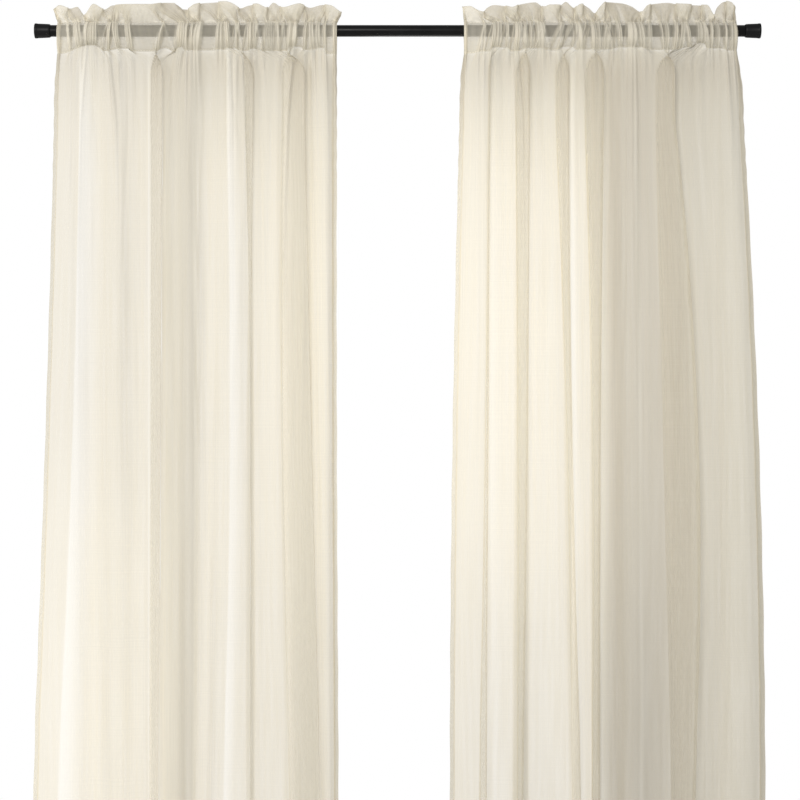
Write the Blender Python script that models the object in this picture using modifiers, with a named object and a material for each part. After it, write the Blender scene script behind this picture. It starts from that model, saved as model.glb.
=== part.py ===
"""Two sheer voile curtain panels, gathered on one black rod by their rod pockets.

Metres, +Z up. The origin is on the rod's axis, halfway along it. The rod runs along X and the
panels' face sides look to -Y. Each panel is one sheet: it rises from its bottom hem, passes in
front of the rod, turns over at the top of its ruffled heading and comes down behind the rod to
the pocket's lower seam.
"""

import math

import bmesh
import bpy
import numpy as np

MM = 0.001

# The rod, a steel tube, and its turned end caps
ROD_RADIUS = 0.0127
ROD_WALL = 0.0008
ROD_HALF = 0.7955
CAP_FACE = 0.7980
CAP_LENGTH = 0.034
CAP_RADIUS_OUTER = 0.0164
CAP_RADIUS_INNER = 0.0147
CAP_RIM = 0.0055
CAP_CORNER = 0.0012
CAP_CHAMFER = 0.0020
CLEARANCE = 0.0003
TURN_STEPS = 36

# The cloth and its seams
CLOTH = 0.0012
HEM_CLOTH = 0.0021
SIDE_HEM = 0.010
HEM_BOTTOM = -2.070
HEM_TOP = -1.994
LOWER_SEAM = -0.046
UPPER_SEAM = 0.018
SEAM_SAG = 0.003
LAYERS_APART = 0.0015

# Heights where the fold tables were measured, and where the gathers have opened into folds
TABLE_TOP = -0.196
TABLE_MID = -0.812
TABLE_LOW = -1.516
FOLDS_OPEN = -0.215
BELOW_TABLE = 0.55
DEPTH_GROWTH = 0.6

# The grid of each panel's sheet
COLUMNS = 62
HEM_COLUMNS = 1
FINE_STEPS = 40
BODY_LEVELS = (-1.72, -1.42, -1.12, -0.82, -0.55, -0.34, -0.20, -0.12, -0.074)
TURN_RADIUS = 0.0055

# The gathers: how many ruffles a panel's heading has, how they swell and drift from even, how
# far they swing at the lower seam, at the upper seam and at the heading's top, and how far the
# pocket puffs out between them. They calm down to a part of their swing at the panel's sides.
RUFFLES = 12.5
RUFFLE_DRIFT = ((0.30, 1.7, 1.0), (0.14, 4.3, 2.1))
RUFFLE_SWELL = (0.20, 3.1, 1.3)
SEAM_GATHER = 0.0050
UPPER_GATHER = 0.9
HEADING_RUFFLE = 0.0105
PUFF = 0.0045
SIDE_SWING = 0.3
CALM_SIDE = 0.06

# The cloth's way round the rod, from the lower seam to the upper one: height, how far each
# layer stands out from where the seams hold it, how much of the seams' gathers it takes and
# how much of the pocket's puffs
POCKET_LEVELS = (
    # height, out, gathers, puffs
    (LOWER_SEAM, 0.0, 1.0, 0.0),
    (-0.028, 0.0110, 0.6, 0.6),
    (-0.012, 0.0148, 0.0, 1.0),
    (-0.001, 0.0152, 0.0, 0.9),
    (0.0104, 0.0079, 0.0, 0.0),
    (UPPER_SEAM, 0.0, UPPER_GATHER, 0.0),
)
HEADING_LEVELS = (0.50, 0.96)

# Folds from left to right across a panel, in millimetres: where the fold's turn stands at the
# table's three heights, and how far behind the rod's plane it lies high up and low down. A
# turn doubles the cloth back on itself: "right" where it comes back from the right.
LEFT_FOLDS = (
    # x_top, x_mid, x_low, y_top, y_low, turn
    (-756, -773, -798, 0, 4, ""),
    (-703, -717, -721, -24, -52, ""),
    (-662, -670, -666, 16, 44, ""),
    (-626, -620, -615, -22, -46, ""),
    (-585, -580, -580, 10, 30, ""),
    (-516, -519, -523, -12, -18, "right"),
    (-546, -546, -549, 10, 16, "left"),
    (-497, -497, -497, 26, 58, ""),
    (-461, -457, -457, -20, -46, ""),
    (-422, -417, -424, 18, 46, ""),
    (-378, -387, -400, -18, -44, ""),
    (-316, -321, -321, -11, -18, "right"),
    (-338, -327, -327, 9, 16, "left"),
    (-299, -299, -290, 6, 14, ""),
    (-202, -189, -172, -15, -28, "right"),
    (-257, -258, -244, 12, 20, "left"),
    (-205, -200, -186, 28, 52, ""),
    (-160, -158, -153, -18, -36, ""),
    (-134, -134, -131, 2, 8, ""),
)
RIGHT_FOLDS = (
    # x_top, x_mid, x_low, y_top, y_low, turn
    (136, 122, 115, 0, 4, ""),
    (163, 155, 148, -18, -40, ""),
    (204, 200, 197, -10, -16, "right"),
    (197, 192, 180, 9, 15, "left"),
    (232, 232, 232, 22, 44, ""),
    (291, 287, 278, -13, -22, "right"),
    (258, 262, 262, 10, 15, "left"),
    (315, 326, 326, 22, 46, ""),
    (377, 383, 400, -13, -22, "right"),
    (346, 368, 381, 9, 13, "left"),
    (394, 402, 412, 6, 20, ""),
    (454, 447, 445, -13, -22, "right"),
    (410, 425, 427, 11, 17, "left"),
    (467, 471, 474, 24, 46, ""),
    (494, 505, 511, -18, -44, ""),
    (522, 540, 551, 0, 10, ""),
    (610, 658, 658, -17, -30, "right"),
    (566, 581, 599, 11, 18, "left"),
    (640, 690, 690, 28, 54, ""),
    (704, 712, 716, 2, 2, ""),
    (732, 753, 757, -16, -34, ""),
    (761, 792, 809, 2, 8, ""),
)

# The heading's top edge, in millimetres, and the panel's sides at the pocket and at the top
LEFT_HEADING = (
    # x, height
    (-757, 47), (-743, 56), (-721, 50), (-706, 54), (-689, 35), (-668, 58), (-646, 48),
    (-629, 57), (-589, 58), (-545, 58), (-510, 63), (-492, 63), (-483, 51), (-464, 48),
    (-446, 58), (-424, 62), (-378, 64), (-362, 59), (-347, 51), (-329, 57), (-310, 59),
    (-288, 51), (-274, 63), (-252, 51), (-215, 59), (-193, 52), (-167, 58), (-149, 56),
    (-125, 41),
)
RIGHT_HEADING = (
    # x, height
    (144, 53), (159, 54), (174, 46), (188, 42), (196, 51), (212, 58), (238, 55), (251, 52),
    (269, 59), (303, 64), (322, 53), (335, 57), (357, 57), (370, 65), (388, 52), (405, 59),
    (421, 51), (434, 40), (443, 51), (458, 64), (493, 62), (515, 55), (536, 42), (548, 55),
    (562, 60), (595, 63), (617, 59), (661, 57), (680, 56), (696, 35), (702, 51), (720, 65),
    (733, 62), (741, 52),
)
LEFT_SIDES = {"pocket": (-747, -134), "heading": (-757, -125)}
RIGHT_SIDES = {"pocket": (146, 745), "heading": (144, 741)}

# Finishes: colour, roughness and metallic value
VOILE = ("voile", (0.86, 0.80, 0.68, 1.0), 0.85, 0.0)
BLACK_STEEL = ("black_steel", (0.010, 0.010, 0.010, 1.0), 0.38, 0.6)
BLACK_CAP = ("black_cap", (0.012, 0.012, 0.012, 1.0), 0.45, 0.0)


def clear_scene():
    """Removes what a new scene starts with."""
    for thing in list(bpy.data.objects):
        bpy.data.objects.remove(thing, do_unlink=True)


def make_material(finish):
    """A Principled material from a finish's name, colour, roughness and metallic value."""
    name, colour, roughness, metallic = finish
    material = bpy.data.materials.new(name)
    material.use_nodes = True
    shader = material.node_tree.nodes["Principled BSDF"]
    shader.inputs["Base Color"].default_value = colour
    shader.inputs["Roughness"].default_value = roughness
    shader.inputs["Metallic"].default_value = metallic
    return material


def turned_object(name, profile, collection, finish):
    """A turned piece, on an axis along X, from a closed profile of (radius, place along X)."""
    mesh = bpy.data.meshes.new(name)
    shape = bmesh.new()
    ring = [shape.verts.new((radius, 0.0, along)) for radius, along in profile]
    for first, second in zip(ring, ring[1:]):
        shape.edges.new((first, second))
    if profile[0][0] > 0:
        shape.edges.new((ring[-1], ring[0]))
    shape.to_mesh(mesh)
    shape.free()
    piece = bpy.data.objects.new(name, mesh)
    piece.rotation_euler = (0.0, math.radians(90.0), 0.0)
    screw = piece.modifiers.new("turn", "SCREW")
    screw.axis = "Z"
    screw.angle = math.tau
    screw.steps = TURN_STEPS
    screw.render_steps = TURN_STEPS
    screw.use_merge_vertices = True
    screw.merge_threshold = 0.00001
    screw.use_smooth_shade = True
    mesh.materials.append(make_material(finish))
    collection.objects.link(piece)
    return piece


def make_rod(collection):
    """The tube, open at both ends under the caps."""
    inside = ROD_RADIUS - ROD_WALL
    profile = [
        (ROD_RADIUS, ROD_HALF),
        (ROD_RADIUS, -ROD_HALF),
        (inside, -ROD_HALF),
        (inside, ROD_HALF),
    ]
    return turned_object("rod", profile, collection, BLACK_STEEL)


def make_cap(collection, side):
    """A flared cap with a socket that slips over the rod's end. side is -1 or 1 along X."""
    mouth = CAP_FACE - CAP_LENGTH
    socket = ROD_RADIUS + CLEARANCE
    floor = ROD_HALF + CLEARANCE
    rim = CAP_FACE - CAP_RIM
    outline = [
        (0.0, CAP_FACE),
        (CAP_RADIUS_OUTER - CAP_CORNER, CAP_FACE),
        (CAP_RADIUS_OUTER - 0.3 * CAP_CORNER, CAP_FACE - 0.3 * CAP_CORNER),
        (CAP_RADIUS_OUTER, CAP_FACE - CAP_CORNER),
        (CAP_RADIUS_OUTER, rim),
        (CAP_RADIUS_OUTER - 0.4 * CAP_CORNER, rim - 0.4 * CAP_CORNER),
        (CAP_RADIUS_INNER, mouth + CAP_CHAMFER),
        (socket + 0.3 * CAP_CHAMFER, mouth),
        (socket, mouth),
        (socket, floor),
        (0.0, floor),
    ]
    name = "end_cap_right" if side > 0 else "end_cap_left"
    cap = turned_object(name, outline, collection, BLACK_CAP)
    if side < 0:
        cap.rotation_euler = (0.0, math.radians(-90.0), 0.0)
    return cap


def down_the_drop(height, top, middle, low):
    """A smooth run through a table's three values, which goes on in a line below them."""
    span = TABLE_TOP - TABLE_LOW
    place = (TABLE_TOP - height) / span
    knee = (TABLE_TOP - TABLE_MID) / span
    slope = (middle - top) / knee
    bend = (low - middle) / (1.0 - knee) - slope
    inside = min(max(place, 0.0), 1.0)
    value = top + slope * inside + bend * inside * (inside - knee)
    if place > 1.0:
        value += BELOW_TABLE * (place - 1.0) * (slope + bend * (2.0 - knee))
    return value


def fold_controls(folds, height):
    """The control points (x, y) of a panel's section at a height, hems and turns included."""
    depth = min(max((TABLE_TOP - height) / (TABLE_TOP - TABLE_LOW), 0.0), 1.0)
    points = []
    for x_top, x_mid, x_low, y_top, y_low, turn in folds:
        x = down_the_drop(height, x_top, x_mid, x_low) * MM
        y = (y_top + (y_low - y_top) * depth ** DEPTH_GROWTH) * MM
        if turn == "":
            points.append((x, y))
            continue
        back = TURN_RADIUS if turn == "right" else -TURN_RADIUS
        points.append((x - back, y - TURN_RADIUS))
        points.append((x, y))
        points.append((x - back, y + TURN_RADIUS))
    first, last = points[0], points[-1]
    points[0:1] = [first, first, first, (first[0] + SIDE_HEM, first[1])]
    points[-1:] = [(last[0] - SIDE_HEM, last[1]), last, last, last]
    return np.array(points)


def spline_points(controls, places):
    """Points of the uniform cubic B-spline over the controls at the given places."""
    spans = len(controls) - 3
    index = np.minimum(places.astype(int), spans - 1)
    part = (places - index)[:, None]
    weights = (
        (1 - part) ** 3 / 6,
        (3 * part ** 3 - 6 * part ** 2 + 4) / 6,
        (-3 * part ** 3 + 3 * part ** 2 + 3 * part + 1) / 6,
        part ** 3 / 6,
    )
    return sum(weight * controls[index + step] for step, weight in enumerate(weights))


def column_places(folds, count):
    """Where the grid's columns lie on the spline, and each one's share of the cloth's width.

    Half of the spacing is even along the cloth and half follows the table, which puts more
    columns into the tight turns.
    """
    controls = fold_controls(folds, TABLE_MID)
    spans = len(controls) - 3
    fine = np.linspace(0.0, spans, spans * FINE_STEPS + 1)
    steps = np.diff(spline_points(controls, fine), axis=0)
    length = np.concatenate(([0.0], np.cumsum(np.hypot(steps[:, 0], steps[:, 1]))))
    share = length / length[-1]
    spacing = 0.5 * (share + fine / spans)
    places = np.interp(np.linspace(0.0, 1.0, count), spacing, fine)
    return places, np.interp(places, fine, share)


def ruffle(share, seed):
    """The uneven gathers across a panel, from -1 to 1, at shares of the cloth's width."""
    turns = RUFFLES * share
    for swing, times, shift in RUFFLE_DRIFT:
        turns = turns + swing * np.sin(math.tau * times * share + shift * seed)
    swing, times, shift = RUFFLE_SWELL
    size = 1.0 - swing + swing * np.sin(math.tau * times * share + shift * seed)
    return size * np.sin(math.tau * turns)


def heading_heights(heading, x):
    """The heading's top edge at each x."""
    table = np.array(heading) * MM
    return np.interp(x, table[:, 0], table[:, 1])


def panel_points(folds, heading, sides, seed):
    """Rows of points up the front, over the heading's top and down the back to the seam."""
    places, share = column_places(folds, COLUMNS + 1)
    from_side = np.minimum(share, 1.0 - share)
    gathers = ruffle(share, seed) * np.clip(SIDE_SWING + from_side / CALM_SIDE, 0.0, 1.0)
    puffs = 0.5 - 0.5 * np.cos(math.tau * RUFFLES * share + 2.0 * seed)
    left, right = (side * MM for side in sides["pocket"])
    top_left, top_right = (side * MM for side in sides["heading"])
    pocket_x = left + (right - left) * share
    top_x = top_left + (top_right - top_left) * share
    top_z = heading_heights(heading, top_x)
    seam_z = -SEAM_SAG * (0.5 - 0.5 * gathers)
    column = np.arange(COLUMNS + 1)
    at_hem = (column <= HEM_COLUMNS) | (column >= COLUMNS - HEM_COLUMNS)
    apart = LAYERS_APART + np.where(at_hem, (HEM_CLOTH - CLOTH) / 2, 0.0)

    def row(x, y, z):
        return np.stack(np.broadcast_arrays(x, y, z), axis=1)

    def body_row(height):
        section = spline_points(fold_controls(folds, height), places)
        reach = min((LOWER_SEAM - height) / (LOWER_SEAM - FOLDS_OPEN), 1.0)
        opened = 1.0 - (1.0 - reach) ** 2
        deepened = 1.0 - (1.0 - reach) ** 4
        x = pocket_x + opened * (section[:, 0] - pocket_x)
        gathered = SEAM_GATHER * gathers - apart
        y = gathered + deepened * (section[:, 1] - gathered)
        return row(x, y, height + seam_z * (1.0 - opened))

    def pocket_row(level, face):
        height, out, gathering, puffing = level
        sag = seam_z * max(0.0, (height - UPPER_SEAM) / (LOWER_SEAM - UPPER_SEAM)) ** 2
        y = face * (out + apart + PUFF * puffing * puffs) + SEAM_GATHER * gathering * gathers
        return row(pocket_x, y, height + sag)

    def heading_row(part, face):
        x = pocket_x + part * (top_x - pocket_x)
        wave = SEAM_GATHER * UPPER_GATHER * (1.0 - part) + HEADING_RUFFLE * part
        z = UPPER_SEAM + part * (top_z - UPPER_SEAM)
        return row(x, face * apart + wave * gathers, z)

    front, back = -1.0, 1.0
    rows = [body_row(height) for height in (HEM_BOTTOM, HEM_TOP, *BODY_LEVELS)]
    rows += [pocket_row(level, front) for level in POCKET_LEVELS]
    rows += [heading_row(part, front) for part in HEADING_LEVELS]
    rows.append(heading_row(1.0, 0.0))
    rows += [heading_row(part, back) for part in reversed(HEADING_LEVELS)]
    rows += [pocket_row(level, back) for level in reversed(POCKET_LEVELS)]
    return rows


def make_panel(name, folds, heading, sides, seed, collection):
    """One panel: a grid laid over the cloth's rows of points, then given its thickness."""
    rows = panel_points(folds, heading, sides, seed)
    bpy.ops.mesh.primitive_grid_add(
        x_subdivisions=COLUMNS, y_subdivisions=len(rows) - 1, size=2.0
    )
    panel = bpy.context.object
    panel.name = name
    panel.data.name = name
    hems = panel.vertex_groups.new(name="hems")
    for vertex in panel.data.vertices:
        across = round((vertex.co.x + 1.0) / 2.0 * COLUMNS)
        up = round((vertex.co.y + 1.0) / 2.0 * (len(rows) - 1))
        vertex.co = rows[up][across]
        if up <= 1 or across <= HEM_COLUMNS or across >= COLUMNS - HEM_COLUMNS:
            hems.add([vertex.index], 1.0, "REPLACE")
    thickness = panel.modifiers.new("cloth", "SOLIDIFY")
    thickness.thickness = HEM_CLOTH
    thickness.offset = 0.0
    thickness.vertex_group = hems.name
    thickness.thickness_vertex_group = CLOTH / HEM_CLOTH
    panel.data.shade_smooth()
    panel.data.materials.append(make_material(VOILE))
    for owner in list(panel.users_collection):
        owner.objects.unlink(panel)
    collection.objects.link(panel)
    return panel


def main():
    """Builds the rod, its caps and the two panels."""
    clear_scene()
    collection = bpy.data.collections.new("voile_curtains_on_rod")
    bpy.context.scene.collection.children.link(collection)
    make_rod(collection)
    make_cap(collection, -1)
    make_cap(collection, 1)
    make_panel("panel_left", LEFT_FOLDS, LEFT_HEADING, LEFT_SIDES, 0.4, collection)
    make_panel("panel_right", RIGHT_FOLDS, RIGHT_HEADING, RIGHT_SIDES, 1.9, collection)


main()
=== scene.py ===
"""Two sheer voile curtain panels on a black rod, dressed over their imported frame.

Metres, +Z up, in the frame's own coordinates: the rod's axis is the X axis and the panels'
face sides look to -Y. Each panel is one sheet of cloth. It rises from its turned-up bottom
hem, passes in front of the rod, turns over at the top of its ruffled heading and comes down
behind the rod to the pocket's lower seam. Its sides are turned back in narrow hems.
"""

import math
from collections import namedtuple

import bpy
import numpy as np
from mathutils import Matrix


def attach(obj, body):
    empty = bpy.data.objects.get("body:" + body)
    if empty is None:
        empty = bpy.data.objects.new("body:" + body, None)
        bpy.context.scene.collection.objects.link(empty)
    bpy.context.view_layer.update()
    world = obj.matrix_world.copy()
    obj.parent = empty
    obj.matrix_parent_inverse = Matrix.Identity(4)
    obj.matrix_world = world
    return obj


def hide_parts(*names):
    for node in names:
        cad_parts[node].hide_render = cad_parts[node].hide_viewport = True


bl_info = {
    "name": "Sheer Voile Curtains",
    "version": (1, 0, 0),
    "blender": (4, 5, 0),
    "location": "3D View > Sidebar > Curtains",
    "description": "Two sheer voile panels gathered on a black curtain rod",
    "category": "Add Mesh",
}

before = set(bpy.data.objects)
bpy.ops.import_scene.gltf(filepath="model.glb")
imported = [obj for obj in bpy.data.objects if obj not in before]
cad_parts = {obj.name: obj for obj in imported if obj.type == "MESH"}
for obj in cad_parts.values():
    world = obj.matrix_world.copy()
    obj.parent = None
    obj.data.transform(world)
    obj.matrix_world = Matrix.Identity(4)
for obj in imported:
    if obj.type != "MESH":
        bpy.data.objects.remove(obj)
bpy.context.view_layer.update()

MM = 0.001

# The photograph's scale: where the rod's middle lies in it, and the size of one of its pixels
MIDDLE_PX = 397.75
PIXEL = 0.0022

# The rod and its turned end caps
ROD_RADIUS = 0.0127
ROD_WALL = 0.0008
ROD_HALF = 0.7955
CAP_FACE = 0.7980
CAP_LENGTH = 0.034
CAP_RADIUS_OUTER = 0.0164
CAP_RADIUS_INNER = 0.0147
CAP_RIM = 0.0055
CAP_CORNER = 0.0012
CAP_CHAMFER = 0.0020
CLEARANCE = 0.0003
TURN_STEPS = 96

# The cloth, its seams and its hems
CLOTH_WIDTH = 1.32
SIDE_HEM = 0.010
HEM_BOTTOM = -2.070
HEM_TOP = -1.994
LOWER_SEAM = -0.046
UPPER_SEAM = 0.018
LAYERS_APART = 0.0015
HEM_APART = 0.0009

# Heights where the fold tables were measured, and where the gathers have opened into folds
TABLE_TOP = -0.196
TABLE_MID = -0.812
TABLE_LOW = -1.516
FOLDS_OPEN = -0.125
SIDES_OPEN = -0.175
SIDE_REACH = 0.07
BELOW_TABLE = 0.55

# The folds: how soon their depth grows down the drop, the radius of a doubled turn, the most
# that they stand out, how soon they come to that, and the steps that measure their length
DEPTH_GROWTH = 0.6
TURN_RADIUS = 0.0038
FLAT_DEPTH = 0.016
FLAT_GAIN = 0.8
FINE_STEPS = 40

# How shaded the cloth is, from -1 where it is lit to 1 where gathers shade each other: under
# the pocket, where that shade fades down the drop, in the pocket between its bunches, and in
# the heading. Thin ridges and ruffles seen on edge are lighter, and so is each panel's left end
# over a share of its width. Ruffles that lean back are darker.
TOP_SHADE = 0.9
TOP_FADE = 0.118
POCKET_SHADE = 0.42
HEADING_SHADE = 0.4
RIDGE_LIGHT = 2.8
EDGE_LIGHT = 1.1
LEAN_SHADE = 0.6
LIGHT_END = 0.8
LIGHT_END_REACH = 0.05

# The fullness from which hanging cloth is shaded, and the range over which it comes to that;
# how much thinner doubled folds begin; the most that gathers count for; and how crowded the
# threads look in the pocket and at most in a single layer, and over what range of fullness
SHADED_FROM = 2.4
SHADED_OVER = 0.8
TIP_THIN = 0.4
MOST_CROWDED = 6.0
POCKET_CROWD = 0.85
SINGLE_CROWD = 0.8
CROWD_OVER = 1.8

# Folds from left to right across a panel, in millimetres: where the fold's turn stands at the
# table's three heights, and how far behind the rod's plane it lies high up and low down. A
# turn doubles the cloth back on itself: "right" where it comes back from the right.
LEFT_FOLDS = (
    # x_top, x_mid, x_low, y_top, y_low, turn
    (-756, -773, -798, 0, 4, ""),
    (-703, -717, -721, -24, -52, ""),
    (-662, -670, -666, 16, 44, ""),
    (-626, -620, -615, -22, -46, ""),
    (-585, -580, -580, 10, 30, ""),
    (-516, -519, -523, -12, -18, "right"),
    (-546, -546, -549, 10, 16, "left"),
    (-497, -497, -497, 26, 58, ""),
    (-461, -457, -457, -20, -46, ""),
    (-422, -417, -424, 18, 46, ""),
    (-378, -387, -400, -18, -44, ""),
    (-316, -321, -321, -11, -18, "right"),
    (-338, -327, -327, 9, 16, "left"),
    (-299, -299, -290, 6, 14, ""),
    (-202, -189, -172, -15, -28, "right"),
    (-257, -258, -244, 12, 20, "left"),
    (-205, -200, -186, 28, 52, ""),
    (-160, -158, -153, -18, -36, ""),
    (-134, -134, -131, 2, 8, ""),
)
RIGHT_FOLDS = (
    # x_top, x_mid, x_low, y_top, y_low, turn
    (136, 122, 115, 0, 4, ""),
    (163, 155, 148, -18, -40, ""),
    (204, 200, 197, -10, -16, "right"),
    (197, 192, 180, 9, 15, "left"),
    (232, 232, 232, 22, 44, ""),
    (291, 287, 278, -13, -22, "right"),
    (258, 262, 262, 10, 15, "left"),
    (315, 326, 326, 22, 46, ""),
    (377, 383, 400, -13, -22, "right"),
    (346, 368, 381, 9, 13, "left"),
    (394, 402, 412, 6, 20, ""),
    (454, 447, 445, -13, -22, "right"),
    (410, 425, 427, 11, 17, "left"),
    (467, 471, 474, 24, 46, ""),
    (494, 505, 511, -18, -44, ""),
    (522, 540, 551, 0, 10, ""),
    (610, 658, 658, -17, -30, "right"),
    (566, 581, 599, 11, 18, "left"),
    (640, 690, 690, 28, 54, ""),
    (704, 712, 716, 2, 2, ""),
    (732, 753, 757, -16, -34, ""),
    (761, 792, 809, 2, 8, ""),
)

# The heading's top edge, in millimetres
LEFT_HEADING = (
    # x, height
    (-757, 47), (-743, 56), (-721, 50), (-706, 54), (-689, 35), (-668, 58), (-646, 48),
    (-629, 57), (-589, 58), (-545, 58), (-510, 63), (-492, 63), (-483, 51), (-464, 48),
    (-446, 58), (-424, 62), (-378, 64), (-362, 59), (-347, 51), (-329, 57), (-310, 59),
    (-288, 51), (-274, 63), (-252, 51), (-215, 59), (-193, 52), (-167, 58), (-149, 56),
    (-125, 41),
)
RIGHT_HEADING = (
    # x, height
    (144, 53), (159, 54), (174, 46), (188, 42), (196, 51), (212, 58), (238, 55), (251, 52),
    (269, 59), (303, 64), (322, 53), (335, 57), (357, 57), (370, 65), (388, 52), (405, 59),
    (421, 51), (434, 40), (443, 51), (458, 64), (493, 62), (515, 55), (536, 42), (548, 55),
    (562, 60), (595, 63), (617, 59), (661, 57), (680, 56), (696, 35), (702, 51), (720, 65),
    (733, 62), (741, 52),
)

# How full the cloth hangs at each place across a panel, in millimetres along the rod at the
# fold table's middle height: 1 where it is flat, more where gathers crowd its threads together.
# Where a fold doubles the cloth back, its layers share the fullness between them.
LEFT_FULLNESS = (
    # x, fullness
    (-800, 0.85), (-735, 0.85), (-700, 1.0), (-650, 1.15), (-575, 1.2), (-552, 1.0), (-547, 1.5),
    (-519, 1.6), (-508, 2.4), (-450, 2.9), (-436, 1.1), (-332, 1.05), (-328, 2.4), (-320, 2.4),
    (-316, 1.1), (-262, 1.1), (-257, 1.8), (-200, 2.3), (-190, 2.3), (-186, 1.4), (-150, 1.4),
    (-130, 1.1),
)
RIGHT_FULLNESS = (
    # x, fullness
    (110, 1.0), (188, 1.0), (192, 1.5), (200, 1.5), (204, 0.95), (257, 0.95), (262, 2.2),
    (286, 2.3), (290, 0.95), (363, 1.0), (368, 2.4), (382, 2.4), (386, 1.0), (420, 1.1),
    (426, 2.5), (452, 2.7), (480, 3.3), (572, 3.3), (585, 3.0), (640, 2.8), (656, 2.4), (664, 2.6),
    (700, 2.55), (760, 2.3), (810, 2.1),
)

# How full it hangs just under the pocket, at each place along the lower seam
LEFT_TOP_FULLNESS = (
    # x, fullness
    (-747, 1.6), (-690, 2.1), (-560, 3.3), (-400, 5.0), (-134, 5.0),
)
RIGHT_TOP_FULLNESS = (
    # x, fullness
    (146, 3.3), (260, 5.2), (400, 6.0), (745, 4.9),
)

# Long ridges where the cloth is drawn thin and shines: where each one's left edge lies at the
# fold table's three heights, as read in the photograph, how far its shine reaches to the right
# in millimetres, and how much thinner the cloth is there. Its left edge blurs over RIDGE_EDGE.
RIDGE_EDGE = 0.0012
LEFT_RIDGES = (
    # px_top, px_mid, px_low, reach, thinner
    (80.5, 75.0, 62.0, 34, 0.36), (148.6, 148.6, 148.6, 4, 0.3), (227.5, 231.0, 226.0, 17, 0.32),
    (284.5, 283.5, 288.0, 12, 0.2),
)
RIGHT_RIDGES = (
    # px_top, px_mid, px_low, reach, thinner
    (491.0, 490.0, 493.0, 17, 0.12), (571.0, 572.0, 571.5, 11, 0.3), (603.5, 602.0, 602.0, 8, 0.28),
    (633.0, 638.0, 640.0, 9, 0.1),
)

# The panel's sides at the pocket and at the heading's top, in millimetres
LEFT_SIDES = {"pocket": (-747, -134), "heading": (-757, -125)}
RIGHT_SIDES = {"pocket": (146, 745), "heading": (144, 741)}

# Where the stitching pinches the heading, in millimetres: each pinch's place along the rod,
# and how far the ruffle on its right leans at the top, to the front where negative
LEFT_PINCHES = (
    # x, lean
    (-752, -5), (-725, 5), (-688, -10), (-648, 6), (-622, -8), (-520, 7), (-460, -9),
    (-435, 5), (-393, -9), (-350, 8), (-318, -9), (-286, 5), (-258, -10), (-206, 6),
    (-160, -7), (-125, 0),
)
RIGHT_PINCHES = (
    # x, lean
    (144, -6), (190, 5), (238, -7), (264, 6), (318, -8), (357, 6), (390, -8), (408, 5),
    (436, -7), (457, 7), (534, -8), (556, 7), (612, -10), (645, 5), (668, -8), (696, 6),
    (722, -8), (741, 0),
)

# The bunches that cross the pocket. The first two columns say where each one's middle crosses
# the upper and the lower seam, as read in the photograph, and the others are millimetres: half
# width, how far it stands out, how far down it runs before it fades by two thirds, and how far
# it has moved to the right where it reaches the fold table's top. Two rows that meet at one
# seam are a forked bunch.
Bunch = namedtuple("Bunch", "up_px low_px half rise run drift")
LEFT_BUNCHES = (
    # up_px, low_px, half, rise, run, drift
    (58, 59, 5, 3.0, 90, -6), (68.4, 70.3, 3.5, 4.5, 30, 0), (77, 80, 8, 4.5, 50, -10),
    (86.7, 80, 3, 5.5, 120, 6), (88, 86.7, 3.5, 6.0, 420, -13), (93.5, 92.5, 10, 4.5, 50, 4),
    (109, 102.5, 3, 4, 35, 6), (110.5, 108.2, 3.5, 6.5, 300, 15), (113.5, 117.3, 3, 5, 70, 8),
    (116.5, 119, 4, 4, 60, 6), (128, 131, 7, 4, 90, 4), (164.7, 155.5, 3.5, 5, 50, -14),
    (164.7, 158.5, 3, 4.5, 45, -10), (164.6, 174.5, 2.5, 3.5, 20, 4), (182, 180, 9, 6, 130, -20),
    (188, 186.5, 3, 5.5, 80, -3), (193, 190.8, 3.5, 5, 60, 4), (200, 196.5, 8.5, 5, 60, 4),
    (218.8, 216.7, 3.5, 4.5, 40, 0), (222, 221.5, 5, 3.5, 40, 2), (226.5, 228.5, 6.5, 6, 420, 2),
    (236.7, 236.9, 3, 5.5, 150, -2), (238.5, 242, 3, 5, 120, 4), (250, 249.3, 6.5, 5, 60, -4),
    (254.6, 255, 3.5, 4.5, 40, 0), (257, 262.5, 3.5, 5, 40, 6), (269.5, 270, 9.5, 3, 30, 0),
    (277.5, 279, 5, 4.5, 50, 0), (284, 286, 5, 3, 40, 2), (291, 289, 5.5, 5, 70, -8),
    (296, 294, 5, 7, 480, -17), (306.5, 304.5, 4.5, 4.5, 80, 2), (311, 312.5, 6, 4.5, 300, 3),
    (318, 319, 5, 4, 60, 4), (325, 325, 4.5, 4.5, 90, 3), (334.5, 335, 5, 3, 120, 1),
)
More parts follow.
